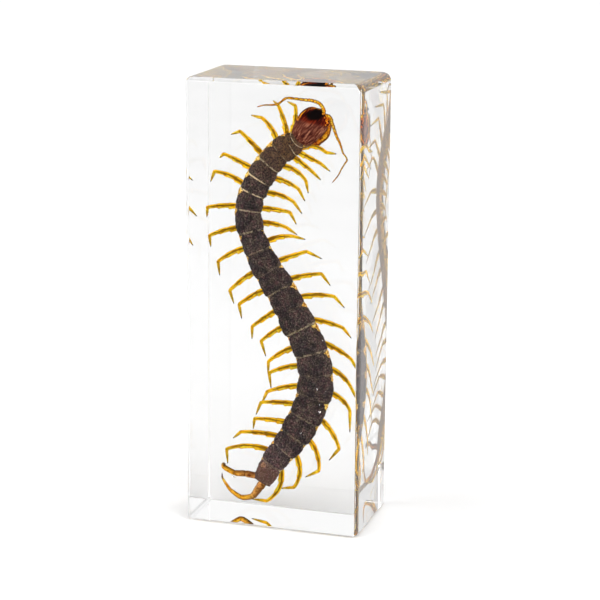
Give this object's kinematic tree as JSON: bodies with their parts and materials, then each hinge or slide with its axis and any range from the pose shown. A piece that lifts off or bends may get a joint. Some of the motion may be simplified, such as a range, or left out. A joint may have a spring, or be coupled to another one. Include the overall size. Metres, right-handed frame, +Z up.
{
  "type": "centipede in resin block",
  "caption": "Dried centipede with its legs spread, sealed upright in a clear cast resin block that stands on its flat end.",
  "frame": {"origin": "middle of the block's base", "axes": "+Z up along the block's length, +X to the right and -Y towards the viewer in front of the animal's back"},
  "size_m": [0.0434, 0.027, 0.11],
  "materials": {
    "chitin": "dry glossy cuticle, dark brown back with amber legs",
    "resin": "polished clear casting resin"
  },
  "bodies": {
    "root": {"centipede": "chitin", "resin_block_front": "resin", "resin_block_back": "resin"}
  },
  "joints": []
}
